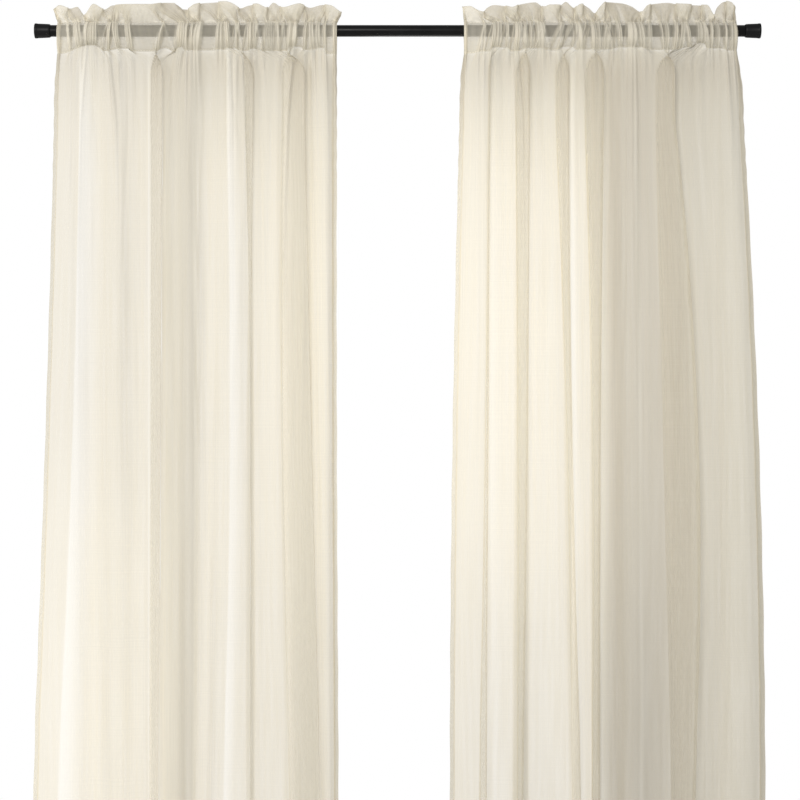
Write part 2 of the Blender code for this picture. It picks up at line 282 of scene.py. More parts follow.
RIGHT_BUNCHES = (
    # up_px, low_px, half, rise, run, drift
    (464.5, 465, 6, 3, 120, -4), (484.5, 478, 3, 5, 30, -4), (484.7, 483.8, 3, 5, 60, -2),
    (494, 491.5, 4, 5.5, 90, 0), (499, 497.5, 7, 4, 60, -2), (506, 508.5, 4, 5, 40, 0),
    (507.5, 506.5, 3.5, 5, 50, -2), (517, 516, 6, 7, 460, 8), (520, 524.5, 4.5, 5, 70, 6),
    (525, 528, 4, 5, 50, 6), (531, 531.5, 5, 4, 50, 4), (544, 536, 3, 4.5, 20, -4),
    (540, 542, 9, 5, 70, 2), (543.5, 549.5, 3, 5, 20, 4), (562, 558.5, 6, 5, 70, -3),
    (571, 572, 5, 3, 40, 0), (578, 581, 8.5, 6, 120, 2), (586, 580.5, 3, 5.5, 340, 13),
    (592, 594, 6, 5.5, 80, 4), (598, 600, 7, 3, 40, 0), (605.5, 613, 3, 5.5, 40, -2),
    (609, 607, 7, 3.5, 50, 2), (618, 620.5, 5.5, 5, 60, 0), (631, 632, 10, 6.5, 600, 0),
    (640, 643.5, 8, 4.5, 70, 0), (649, 650.5, 4.5, 4, 40, 2), (660, 664, 3, 5, 40, 2),
    (666, 667, 6, 3.5, 40, 0), (676, 674.5, 5, 5.5, 80, 2), (683, 681, 6, 4, 50, 2),
    (686, 690.5, 4.5, 6, 70, 4), (701, 702, 10, 4, 240, -6), (703.5, 708.5, 3.5, 5.5, 50, 4),
    (711, 711.5, 4, 5, 60, 6), (717, 718, 6, 3, 50, 8), (724.7, 725.8, 3.5, 6, 120, 10),
    (732, 733, 7, 3.5, 120, 14),
)

# Where the lower seam runs, in millimetres: it rides up over the bunches and dips between them
LEFT_SEAM = (
    # x, height
    (-747, -49.5), (-736, -49.5), (-708, -39.6), (-681, -32), (-666, -32), (-646, -44),
    (-640, -44), (-611, -38.7), (-594, -38.7), (-586, -45.3), (-534, -45.3), (-512, -37.4),
    (-490, -46.2), (-484, -36.7), (-475, -36.7), (-468, -43), (-409, -43), (-398, -41.4),
    (-382, -41.4), (-373, -38.5), (-358, -38.5), (-340, -44), (-329, -44), (-322, -39.6),
    (-314, -39.6), (-294, -44.7), (-244, -44.7), (-235, -35), (-213, -35), (-207, -41.8),
    (-190, -41.8), (-171, -37.4), (-163, -37.4), (-158, -51.3), (-136, -51.3),
)
RIGHT_SEAM = (
    # x, height
    (146, -49.7), (163, -49.7), (185, -45.3), (203, -45.3), (210, -36.5), (238, -36.5),
    (249, -45.3), (262, -45.3), (284, -38.7), (309, -38.7), (339, -43), (350, -43),
    (366, -35.2), (386, -35.2), (390, -41.8), (397, -41.8), (441, -41), (463, -41),
    (489, -36.3), (535, -36.3), (555, -41.8), (603, -41.8), (645, -35.2), (652, -35.2),
    (656, -27.5), (674, -27.5), (680, -38.7), (716, -38.7), (722, -43.3), (742, -43.3),
)

# The cloth's way round the rod, from the lower seam to the upper one: height, how far each
# layer stands out from where the seams hold it, how much of the bunches both layers share and
# how much each layer puffs out by itself
POCKET_LEVELS = (
    # height, out, shared, puffed
    (LOWER_SEAM, 0.0, 1.0, 0.0),
    (-0.028, 0.0110, 0.5, 0.5),
    (-0.012, 0.0148, 0.1, 0.9),
    (-0.001, 0.0152, 0.0, 1.0),
    (0.0104, 0.0082, 0.4, 0.6),
    (UPPER_SEAM, 0.0, 0.9, 0.0),
)
BACK_PUFF = 0.6

# The bunches: how much more cloth one takes than the flat pocket, how much wider than the bunch
# that is gathered, the small pleats on it, how far it bows between the seams, how much wider it
# is halfway, and the rise of a fully lit crest
BUNCH_FULLNESS = 6.0
BUNCH_GATHER = 1.25
PLEAT_RISE = 0.0014
PLEAT_PITCH = 0.0058
BUNCH_BOW = 0.0016
BUNCH_SWELL = 0.4
LIT_RISE = 0.0055

# The heading: the depth of the creases that fan out from a pinch, the rise at which one is lit,
# the share of a ruffle's width that its top sways by and the most that this comes to, how far
# its two layers part in mid ruffle and how far it stands forward there, and its crumples
CREASE_DEPTH = 0.0042
CREASE_LIT = 0.0022
RUFFLE_SWAY = 0.22
RUFFLE_SWAY_MOST = 0.011
RUFFLE_BULGE = 0.0016
RUFFLE_SET = 0.0020
CRUMPLES = (
    # depth, pitch across, pitch up
    (0.0009, 0.019, 0.041),
    (0.0007, 0.0113, -0.027),
)

# Beside the side hems, over shares of the cloth's width: how much farther apart the pocket's
# layers stand, and the depth and pitch of the puckers along the hem
SIDE_APART = 0.0009
SIDE_APART_REACH = 0.012
PUCKER_REACH = 0.01091
PUCKERS = {"out": (0.0007, 0.031), "across": (0.0006, 0.047)}

# The fine gathers at the upper seam, with their depth and their pitch as a share of the cloth's
# width, how far up and down they reach, and how far inside its fold the lower seam is sewn
SEAM_GATHERS = (0.0010, 0.0065)
SEAM_GATHERS_REACH = 0.006
SEAM_INSET = 0.0015

# The grid of each panel's sheet: its columns, its rows in the hem, down to NEAR_SEAM and from
# there to the seam, the steps in the pocket and the heading, and the angles of the turn over
COLUMNS = 530
HEM_ROWS = 5
DROP_ROWS = 46
NEAR_ROWS = 40
NEAR_SEAM = -0.33
POCKET_STEPS = 4
HEADING_STEPS = 13
TURN_OVER = (-60, -30, 0, 30, 60)

# The small wrinkles that run down the cloth: how many a panel has, the ranges of their half
# width, depth and length, the share that turns forward, how far they keep from the sides, how
# far down they begin on average, and how much they slant
WRINKLES = 170
WRINKLE_HALF = (0.0018, 0.0075)
WRINKLE_DEPTH = (0.0004, 0.0014)
WRINKLE_RUN = (0.10, 0.75)
WRINKLES_FORWARD = 0.65
WRINKLE_INSET = 0.015
WRINKLE_START = 0.18
WRINKLE_SLANT = 0.012

# The weave: threads and slubs to a metre, how much each changes the cloth's density, and the
# stitches' half width, pitch, the share of it that a stitch fills, and how well it covers
THREADS = 620.0
THREAD_DENSITY = 0.05
SLUBS_ACROSS = 60.0
SLUBS_ALONG = 2.2
SLUB_DENSITY = 0.055
STITCH_HALF = 0.00045
STITCH_PITCH = 0.0032
STITCH_SHARE = 0.72
STITCH_COVER = 0.9

# The camera, which looks level at the middle of the photographed height
CAMERA_PLACE = (0.005, -4.6, -0.812)
CAMERA_SEEN = 1.76
SENSOR = 36.0
FLOOR_HEIGHT = -2.092

# The stage's light colours, and its soft lights with their places, aims and sizes in metres
WARM = (1.0, 0.98, 0.95)
PALE = (1.0, 0.99, 0.96)
WHITE = (1.0, 1.0, 1.0)
ROOM_COLOUR = (1.0, 0.995, 0.985)
LIGHTS = (
    # name, place, aim, size, colour
    ("key", (-0.8, -3.8, 1.0), (0.0, 0.0, -0.7), (1.2, 1.2), WARM),
    ("side", (-2.2, -1.5, 0.35), (-0.1, 0.0, 0.0), (0.5, 0.5), WARM),
    ("glow", (-0.79, 0.38, -1.5), (-0.79, 0.0, -1.5), (0.12, 1.0), PALE),
    ("strip", (0.6, -4.4, 0.25), (0.0, 0.0, 0.0), (3.2, 0.2), WHITE),
    ("back", (0.17, 0.38, -0.7), (0.17, 0.0, -0.7), (0.5, 1.1), PALE),
)


def colour_setting(name, description, default):
    """A colour among a piece's settings."""
    return bpy.props.FloatVectorProperty(
        name=name, description=description, default=default, subtype="COLOR", size=3, min=0.0, max=1.0
    )


def power_setting(name, description, default):
    """A light's power among the stage's settings."""
    return bpy.props.FloatProperty(
        name=name, description=description, default=default, unit="POWER", min=0.0
    )


def scale_setting(name, description, default, most):
    """A strength from nothing upwards, such as how far the cloth's detail stands out."""
    return bpy.props.FloatProperty(
        name=name, description=description, default=default, min=0.0, max=most
    )


class CurtainSettings(bpy.types.PropertyGroup):
    """The sizes and colours of the cloth and the rod."""

    voile_colour: colour_setting(
        "Voile colour", "Colour of the voile's threads", (0.83, 0.748, 0.56)
    )
    gap_colour: colour_setting(
        "Colour between the threads",
        "Tint of the light that passes between the voile's threads",
        (1.0, 0.985, 0.955),
    )
    # Painted shade: the colour mixed into the cloth where its shade attribute is above 0, in crowded
    # gathers, near the top of the drop, in the pocket and in the heading
    shade_colour: colour_setting(
        "Crowded voile colour",
        "Colour of the voile where gathers shade each other",
        (0.665, 0.614, 0.51),
    )
    # Painted highlight: the colour mixed into the cloth where its shade attribute is below 0, on lit
    # crests, thin ridges, ruffles seen on edge and each panel's left end
    crest_highlight_colour: colour_setting(
        "Crest colour", "Colour of the voile along the crests of its bunches", (0.98, 0.925, 0.79)
    )
    crowd_colour: colour_setting(
        "Gathered voile colour",
        "Colour of the voile's threads where gathers or folds lay them close together",
        (0.80, 0.762, 0.655),
    )
    voile_density: bpy.props.FloatProperty(
        name="Voile density",
        description="Share of the light that one layer's threads stop, seen square on",
        default=0.50,
        min=0.05,
        max=0.95,
        subtype="FACTOR",
    )
    bunch_scale: scale_setting(
        "Bunch size", "Scale of how far the bunches stand out at the pocket", 1.2, 1.4
    )
    wrinkle_scale: scale_setting(
        "Wrinkle depth", "Scale of the depth of the small wrinkles down the cloth", 1.0, 2.0
    )
    steel_colour: colour_setting(
        "Rod colour", "Colour of the rod's satin enamel", (0.0078, 0.0078, 0.008)
    )
    cap_colour: colour_setting(
        "End cap colour", "Colour of the moulded end caps", (0.012, 0.012, 0.0125)
    )


class CurtainStageSettings(bpy.types.PropertyGroup):
    """The floor's colour and the lights' strengths."""

    floor_colour: colour_setting("Floor colour", "Colour of the plain floor", (0.82, 0.82, 0.81))
    key_power: power_setting(
        "Key light", "Power of the large soft light in front, above the middle", 76.0
    )
    side_power: power_setting(
        "Side light", "Power of the raking light at the left of the heading", 13.0
    )
    back_power: power_setting("Back light", "Power of the large soft light behind the cloth", 5.1)
    glow_power: power_setting(
        "Low glow", "Power of the narrow light behind the left panel's outer part", 3.3
    )
    strip_power: power_setting(
        "Strip light", "Power of the long low light that the rod shines in", 4.0
    )
    room_light: scale_setting("Room light", "Strength of the even light from all round", 0.40, 3.0)


class Nodes:
    """A material's or a world's node tree, with short ways to add and join its nodes."""

    def __init__(self, owner, output):
        self.owner = owner
        owner.use_nodes = True
        self.tree = owner.node_tree
        self.tree.nodes.clear()
        self.output = self.tree.nodes.new(output)

    def made(self, kind, inputs=None, output=0, **settings):
        """An output of a new node. Its inputs, by name or number, are joined or set to values."""
        node = self.tree.nodes.new(kind)
        for key, value in settings.items():
            setattr(node, key, value)
        for key, value in (inputs or {}).items():
            if isinstance(value, bpy.types.NodeSocket):
                self.tree.links.new(value, node.inputs[key])
            else:
                node.inputs[key].default_value = value
        return node.outputs[output]

    def math(self, operation, *values):
        """The result of a Math node."""
        return self.made("ShaderNodeMath", dict(enumerate(values)), operation=operation)

    def vector(self, *parts):
        """A vector from three parts."""
        return self.made("ShaderNodeCombineXYZ", dict(enumerate(parts)))

    def part_of(self, vector, number):
        """One of a vector's three parts."""
        return self.made("ShaderNodeSeparateXYZ", {0: vector}, number)

    def attribute(self, name):
        """The value of one of the mesh's own attributes."""
        return self.made("ShaderNodeAttribute", output="Fac", attribute_name=name)

    def noise(self, vector, scale, detail=2.0, roughness=0.5):
        """A noise pattern's value over a vector."""
        inputs = {"Vector": vector, "Scale": scale, "Detail": detail, "Roughness": roughness}
        return self.made("ShaderNodeTexNoise", inputs, "Fac")

    def spread(self, *value_and_bounds):
        """A value taken from one range to another, and kept inside it."""
        return self.made("ShaderNodeMapRange", dict(enumerate(value_and_bounds)))

    def mix_colour(self, factor, first, second):
        """A mix of two colours."""
        inputs = {"Factor": factor, "A": first, "B": second}
        return self.made("ShaderNodeMix", inputs, "Result", data_type="RGBA")

    def mix_shader(self, *factor_and_shaders):
        """A mix of two shaders."""
        return self.made("ShaderNodeMixShader", dict(enumerate(factor_and_shaders)))

    def bump(self, height, strength, distance):
        """A bumped normal."""
        inputs = {"Height": height, "Strength": strength, "Distance": distance}
        return self.made("ShaderNodeBump", inputs)

    def finished(self, surface):
        """The material or world, with its surface in place."""
        self.tree.links.new(surface, self.output.inputs["Surface"])
        return self.owner


def new_material(name):
    """The node tree of a new material."""
    return Nodes(bpy.data.materials.new(name), "ShaderNodeOutputMaterial")


def tint(colour, factor=1.0):
    """A colour made lighter or darker, with its alpha."""
    return (*(min(part * factor, 1.0) for part in colour), 1.0)


def stitches_along(nodes, across, along, seams):
    """1 on the stitches of each line of sewing that runs across the panel, and 0 elsewhere."""
    stitch_row = None
    for seam in seams:
        off = nodes.math("ABSOLUTE", nodes.math("SUBTRACT", along, seam))
        line = nodes.math("LESS_THAN", off, STITCH_HALF)
        stitch_row = line if stitch_row is None else nodes.math("MAXIMUM", stitch_row, line)
    step = nodes.math("FRACT", nodes.math("MULTIPLY", across, 1.0 / STITCH_PITCH))
    return nodes.math("MULTIPLY", stitch_row, nodes.math("LESS_THAN", step, STITCH_SHARE))


def voile_material(settings, seams):
    """Sheer woven voile: threads with open gaps between them, slubs, and sewn seams.

    The cloth's own map gives metres across and along the cloth. seams are the places along it
    where a line of stitches runs across the panel.
    """
    nodes = new_material("voile")
    cloth = nodes.made("ShaderNodeUVMap", uv_map="cloth")
    across, along = nodes.part_of(cloth, 0), nodes.part_of(cloth, 1)

    def woven_noise(scale_across, scale_along, layer, *detail):
        """Noise over the cloth's own map, drawn together across or along it."""
        wide = nodes.math("MULTIPLY", across, scale_across)
        tall = nodes.math("MULTIPLY", along, scale_along)
        return nodes.noise(nodes.vector(wide, tall, layer), *detail)

    warp = woven_noise(THREADS, 1.0, 0.0, 2.0)
    weft = woven_noise(1.0, THREADS, 4.0, 2.0)
    threads = nodes.math("ADD", warp, weft)
    slub = woven_noise(SLUBS_ACROSS, SLUBS_ALONG, 9.0, 2.0, 3.0)
    cloud = woven_noise(1.0, 1.0, 2.0, 5.0, 2.0)
    crumple = woven_noise(3.0, 1.0, 5.0, 90.0, 2.0)
    stitches = stitches_along(nodes, across, along, seams)

    facing = nodes.part_of(nodes.made("ShaderNodeNewGeometry", output="Normal"), 1)
    square_on = nodes.spread(nodes.math("ABSOLUTE", facing), 0.15, 1.0, 0.8, 1.0)
    by_thread = nodes.spread(threads, 0.6, 1.4, -THREAD_DENSITY, THREAD_DENSITY)
    by_slub = nodes.spread(slub, 0.3, 0.7, -SLUB_DENSITY, SLUB_DENSITY)
    density = nodes.math("ADD", nodes.math("ADD", by_thread, settings.voile_density), by_slub)
    layers = nodes.math("DIVIDE", nodes.attribute("fullness"), square_on)
    open_share = nodes.math("POWER", nodes.math("SUBTRACT", 1.0, density), layers)
    woven = nodes.math("SUBTRACT", 1.0, open_share)
    solid = nodes.math("MAXIMUM", woven, nodes.math("MULTIPLY", stitches, STITCH_COVER))

    pale, deep = tint(settings.voile_colour, 0.985), tint(settings.voile_colour, 1.015)
    base = nodes.mix_colour(nodes.spread(cloud, 0.35, 0.65, 0.0, 1.0), pale, deep)
    gathered = nodes.mix_colour(nodes.attribute("crowd"), base, tint(settings.crowd_colour))
    # Painted shade and painted highlight: the shade attribute mixes in the shade colour where it is
    # above 0 and the crest highlight colour where it is below 0
    shade = nodes.attribute("shade")
    shaded = nodes.mix_colour(shade, gathered, tint(settings.shade_colour))
    crest = nodes.spread(shade, -1.0, 0.0, 1.0, 0.0)
    lit = nodes.mix_colour(crest, shaded, tint(settings.crest_highlight_colour))
    sewn = tint(settings.crowd_colour, 1.1)
    colour = nodes.mix_colour(nodes.math("MULTIPLY", stitches, 0.6), lit, sewn)

    height = nodes.math("ADD", nodes.math("MULTIPLY", threads, 0.35), crumple)
    height = nodes.math("ADD", height, nodes.math("MULTIPLY", stitches, 1.5))
    normal = nodes.bump(height, 0.25, 0.0006)

    face = nodes.made("ShaderNodeBsdfPrincipled", {
        "Base Color": colour,
        "Roughness": 0.72,
        "Specular IOR Level": 0.25,
        "Sheen Weight": 0.12,
        "Sheen Roughness": 0.4,
        "Normal": normal,
    })
    glow = nodes.made("ShaderNodeBsdfTranslucent", {"Color": colour, "Normal": normal})
    gap = nodes.made("ShaderNodeBsdfTransparent", {"Color": tint(settings.gap_colour)})
    return nodes.finished(nodes.mix_shader(solid, gap, nodes.mix_shader(0.25, face, glow)))


def hard_finish(name, colour, roughness, grain, grain_depth):
    """A satin black finish with a fine grain and slightly uneven gloss."""
    nodes = new_material(name)
    place = nodes.made("ShaderNodeTexCoord", output="Object")
    broad = nodes.noise(place, 22.0, 3.0)
    cloud = nodes.spread(broad, 0.35, 0.65, 0.0, 1.0)
    return nodes.finished(nodes.made("ShaderNodeBsdfPrincipled", {
        "Base Color": nodes.mix_colour(cloud, tint(colour, 0.85), tint(colour, 1.2)),
        "Roughness": nodes.spread(broad, 0.3, 0.7, roughness - 0.05, roughness + 0.06),
        "Specular IOR Level": 0.13,
        "Normal": nodes.bump(nodes.noise(place, grain, 2.0), 0.3, grain_depth),
    }))


def plain_finish(name, colour, roughness):
    """A plain matt finish for the stage."""
    nodes = new_material(name)
    inputs = {"Base Color": tint(colour), "Roughness": roughness}
    return nodes.finished(nodes.made("ShaderNodeBsdfPrincipled", inputs))


def turned_piece(name, profile, side, material):
    """A piece turned round the X axis from a profile of (radius, place along X)."""
    mesh = bpy.data.meshes.new(name)
    points = [(radius, 0.0, along) for radius, along in profile]
    edges = [(index, index + 1) for index in range(len(points) - 1)]
    if profile[0][0] > 0:
        edges.append((len(points) - 1, 0))
    mesh.from_pydata(points, edges, [])
    piece = bpy.data.objects.new(name, mesh)
    bpy.context.scene.collection.objects.link(piece)
    piece.rotation_euler = (0.0, math.radians(90.0 * side), 0.0)
    screw = piece.modifiers.new("turn", "SCREW")
    screw.axis = "Z"
    screw.steps = TURN_STEPS
    screw.render_steps = TURN_STEPS
    screw.use_merge_vertices = True
    screw.merge_threshold = 0.00001
    screw.use_smooth_shade = True
    screw.use_normal_calculate = True
    mesh.materials.append(material)
    return piece


def rounded_corner(centre, radius, start, stop, steps):
    """Points of an arc from one angle to another, in degrees, as (radius, place) pairs."""
    angles = np.radians(np.linspace(start, stop, steps))
    return [(centre[0] + radius * math.cos(a), centre[1] + radius * math.sin(a)) for a in angles]


def cap_profile():
    """The flared cap's outline: face, rounded rim, taper, chamfer and the socket inside."""
    mouth = CAP_FACE - CAP_LENGTH
    socket = ROD_RADIUS + CLEARANCE
    floor = ROD_HALF + CLEARANCE
    rim = CAP_FACE - CAP_RIM
    edge = (CAP_RADIUS_OUTER - CAP_CORNER, CAP_FACE - CAP_CORNER)
    profile = [(0.0, CAP_FACE), (CAP_RADIUS_OUTER - 2.4 * CAP_CORNER, CAP_FACE)]
    profile += rounded_corner(edge, CAP_CORNER, 90.0, 0.0, 7)
    profile += [
        (CAP_RADIUS_OUTER, rim + 0.0004),
        (CAP_RADIUS_OUTER - 0.0003, rim),
        (CAP_RADIUS_OUTER - 0.0005, rim - 0.0006),
        (CAP_RADIUS_INNER + 0.0003, mouth + CAP_CHAMFER + 0.003),
        (CAP_RADIUS_INNER, mouth + CAP_CHAMFER),
        (CAP_RADIUS_INNER - 0.0004, mouth + 0.6 * CAP_CHAMFER),
        (socket + 0.0006, mouth),
        (socket, mouth + 0.0003),
        (socket, floor),
        (0.0, floor),
    ]
    return profile


def down_the_drop(height, top, middle, low):
    """A smooth run through a table's three values, which goes on in a line below them."""
    span = TABLE_TOP - TABLE_LOW
    place = (TABLE_TOP - height) / span
    knee = (TABLE_TOP - TABLE_MID) / span
    slope = (middle - top) / knee
    bend = (low - middle) / (1.0 - knee) - slope
    inside = min(max(place, 0.0), 1.0)
    value = top + slope * inside + bend * inside * (inside - knee)
    if place > 1.0:
        value += BELOW_TABLE * (place - 1.0) * (slope + bend * (2.0 - knee))
    return value


def fold_controls(folds, height):
    """The control points (x, y) of a panel's section at a height, hems and turns included."""
    depth = min(max((TABLE_TOP - height) / (TABLE_TOP - TABLE_LOW), 0.0), 1.0)
    points = []
    for x_top, x_mid, x_low, y_top, y_low, turn in folds:
        x = down_the_drop(height, x_top, x_mid, x_low) * MM
        y = (y_top + (y_low - y_top) * depth ** DEPTH_GROWTH) * MM
        if turn == "":
            points.append((x, y))
            continue
        back = TURN_RADIUS if turn == "right" else -TURN_RADIUS
        points.append((x - back, y - TURN_RADIUS))
        points.append((x, y))
        points.append((x - back, y + TURN_RADIUS))
    first, last = points[0], points[-1]
    points[0:1] = [first, first, first, (first[0] + SIDE_HEM, first[1])]
    points[-1:] = [(last[0] - SIDE_HEM, last[1]), last, last, last]
    return np.array(points)


def spline_points(controls, places):
    """Points of the uniform cubic B-spline over the controls at the given places."""
    spans = len(controls) - 3
    index = np.minimum(places.astype(int), spans - 1)
    part = (places - index)[:, None]
    weights = (
        (1 - part) ** 3 / 6,
        (3 * part ** 3 - 6 * part ** 2 + 4) / 6,
        (-3 * part ** 3 + 3 * part ** 2 + 3 * part + 1) / 6,
        part ** 3 / 6,
    )
    return sum(weight * controls[index + step] for step, weight in enumerate(weights))


def column_places(folds, count):
    """Where the grid's columns lie on the spline, and each one's share of the cloth's width."""
    controls = fold_controls(folds, TABLE_MID)
    spans = len(controls) - 3
    fine = np.linspace(0.0, spans, spans * FINE_STEPS + 1)
    steps = np.diff(spline_points(controls, fine), axis=0)
    length = np.concatenate(([0.0], np.cumsum(np.hypot(steps[:, 0], steps[:, 1]))))
    share = length / length[-1]
    spacing = 0.75 * share + 0.25 * fine / spans
    places = np.interp(np.linspace(0.0, 1.0, count), spacing, fine)
    return places, np.interp(places, fine, share)


def smooth_run(table, x):
    """A smooth curve through a table of millimetres, which turns only where the table does."""
    places, values = np.array(table, dtype=float).T * MM
    pitch = np.diff(values) / np.diff(places)
    before, after = pitch[:-1], pitch[1:]
    turns = before * after <= 0.0
    middle = np.where(turns, 0.0, 2.0 * before * after / np.where(turns, 1.0, before + after))
    slope = np.concatenate((pitch[:1], middle, pitch[-1:]))
    index = np.clip(np.searchsorted(places, x) - 1, 0, len(places) - 2)
    width = places[index + 1] - places[index]
    part = np.clip((x - places[index]) / width, 0.0, 1.0)
    eased = part * part * (3.0 - 2.0 * part)
    start, stop = values[index], values[index + 1]
    bend = slope[index] * part * (1.0 - part) ** 2 - slope[index + 1] * part ** 2 * (1.0 - part)
    return start + eased * (stop - start) + width * bend


def layers_at(x):
    """How many of a row's layers lie over each of its columns and over both its neighbours."""
    low = np.minimum(x[:-1], x[1:])[None, :]
    high = np.maximum(x[:-1], x[1:])[None, :]
    over = (low <= x[:, None]) & (x[:, None] < high)
    count = np.pad(np.maximum(over.sum(axis=1), 1), 1, mode="edge")
    return np.minimum(np.minimum(count[:-2], count[2:]), count[1:-1])


def thinned_at(ridges, x, height):
    """The share of its fullness that the cloth keeps at each x of a height, less at the ridges."""
    kept = np.ones_like(x)
    for px_top, px_mid, px_low, reach, thinner in ridges:
        edge = (down_the_drop(height, px_top, px_mid, px_low) - MIDDLE_PX) * PIXEL
        away = x - edge
        inside = np.exp(-(away / (reach * MM)) ** 2)
        shine = np.where(away < 0.0, np.exp(np.minimum(away, 0.0) / RIDGE_EDGE), inside)
        kept = kept * (1.0 - thinner * shine)
    return kept


def tube_profile(off, squareness):
    """A bunch's rounded section: 1 at its crest, 0 from its sides outwards."""
    return np.clip(1.0 - off * off, 0.0, 1.0) ** squareness


def bunches_at(bunches, x, centre, width=1.0, fade=lambda bunch: 1.0):
    """How far the pleated bunches stand out at each x. centre and fade are told each bunch."""
    most = np.zeros_like(x)
    for bunch in bunches:
        away = x - centre(bunch)
        section = tube_profile(away / (bunch.half * MM * width), 0.6)
        pitch = PLEAT_PITCH * width * (1.0 + 0.35 * math.sin(5.1 * bunch.up_px))
        pleats = PLEAT_RISE * np.sin(math.tau * away / pitch + bunch.up_px)
        most = np.maximum(most, fade(bunch) * section * (bunch.rise * MM + pleats))
    return most


def bunch_centre(bunch, share):
    """Where a bunch's middle lies between the lower seam, at 0, and the upper one, at 1."""
    straight = (bunch.low_px + share * (bunch.up_px - bunch.low_px) - MIDDLE_PX) * PIXEL
    return straight + BUNCH_BOW * math.sin(2.7 * bunch.up_px) * math.sin(math.pi * share)


def crest_light(stands, most=1.0):
    """The shade of gathered cloth, from POCKET_SHADE where it is flat down to its light crests."""
    return POCKET_SHADE - (POCKET_SHADE + 1.0) * most * np.clip(stands / LIT_RISE, 0.0, 1.0) ** 1.2


def pocket_places(bunches, left, right, share, level):
    """Where each share of the cloth's width lies along a seam: crowded into the bunches."""
    x = np.linspace(left, right, 4001)
    crowd = np.zeros_like(x)
    for bunch in bunches:
        off = (x - bunch_centre(bunch, level)) / (BUNCH_GATHER * bunch.half * MM)
        crowd = np.maximum(crowd, bunch.rise / 5.0 * tube_profile(off, 0.4))
    taken = np.concatenate(([0.0], np.cumsum(1.0 + BUNCH_FULLNESS * crowd[1:])))
    return np.interp(share, taken / taken[-1], x)


def ruffle_at(pinches, x):
    """How far the heading's top leans and sways at each x, and 0 to 1 from a pinch to mid ruffle."""
    table = np.array(pinches, dtype=float) * MM
    index = np.clip(np.searchsorted(table[:, 0], x) - 1, 0, len(table) - 2)
    start, stop = table[index, 0], table[index + 1, 0]
    part = np.clip((x - start) / (stop - start), 0.0, 1.0)
    swell = np.sin(math.pi * part) ** 0.8
    sway = -np.minimum(RUFFLE_SWAY * (stop - start), RUFFLE_SWAY_MOST) * np.sin(math.tau * part)
    return table[index, 1] * swell, sway, swell


def fan_creases(pinches, x, z, random_shift):
    """Sharp creases that fan out from each pinch, over points near the upper seam."""
    total = np.zeros_like(x)
    for number, (place, _) in enumerate(pinches):
        dx = x - place * MM
        dz = np.maximum(z - (UPPER_SEAM - 0.003), 0.0005)
        reach = np.hypot(dx, dz)
        angle = np.arctan2(dx, dz)
        near = np.exp(-((reach - 0.011) / 0.013) ** 2)
        fan = np.abs(np.cos(3.4 * angle + random_shift[number])) ** 5
        total += CREASE_DEPTH * near * (fan - 0.25)
    return total


def wrinkle_table(random, left, right):
    """Small wrinkles down a panel: place, half width, depth, top, run and slant of each."""
    depth = random.uniform(*WRINKLE_DEPTH, WRINKLES)
    forward = random.random(WRINKLES) < WRINKLES_FORWARD
    return np.stack([
        random.uniform(left + WRINKLE_INSET, right - WRINKLE_INSET, WRINKLES),
        random.uniform(*WRINKLE_HALF, WRINKLES),
        depth * np.where(forward, -1.0, 1.0),
        LOWER_SEAM - random.exponential(WRINKLE_START, WRINKLES),
        random.uniform(*WRINKLE_RUN, WRINKLES),
        random.normal(0.0, WRINKLE_SLANT, WRINKLES),
    ], axis=1)


def wrinkles_at(table, x, height):
    """How far the small wrinkles move the cloth at each x of a height."""
    total = np.zeros_like(x)
    for place, half, depth, top, run, slant in table:
        below = (top - height) / run
        if below < -0.15 or below > 1.6:
            continue
        strength = math.sin(math.pi * min(max((below + 0.15) / 1.75, 0.0), 1.0)) ** 1.2
        off = (x - place - slant * below) / half
        total += depth * strength * np.exp(-off * off)
    return total


def pocket_path():
    """Smooth steps through the pocket's levels."""
    levels = np.array(POCKET_LEVELS)
    padded = np.vstack([2 * levels[0] - levels[1], levels, 2 * levels[-1] - levels[-2]])
    steps = []
    for index in range(len(levels) - 1):
        p0, p1, p2, p3 = padded[index:index + 4]
        for part in np.arange(POCKET_STEPS) / POCKET_STEPS:
            steps.append(0.5 * (
                2 * p1
                + (p2 - p0) * part
                + (2 * p0 - 5 * p1 + 4 * p2 - p3) * part ** 2
                + (3 * p1 - p0 - 3 * p2 + p3) * part ** 3
            ))
    steps.append(levels[-1])
    return [(height, max(out, 0.0), max(shared, 0.0), max(puffed, 0.0))
            for height, out, shared, puffed in steps]


def body_heights():
    """Heights of the sheet's rows from the bottom hem up to the lower seam."""
    hem = np.linspace(HEM_BOTTOM, HEM_TOP, HEM_ROWS)
    long_drop = np.linspace(HEM_TOP, NEAR_SEAM, DROP_ROWS)[1:]
    near_seam = LOWER_SEAM + (NEAR_SEAM - LOWER_SEAM) * np.linspace(1.0, 0.0, NEAR_ROWS)[1:-1] ** 1.25
    return list(hem), [*long_drop, *near_seam]


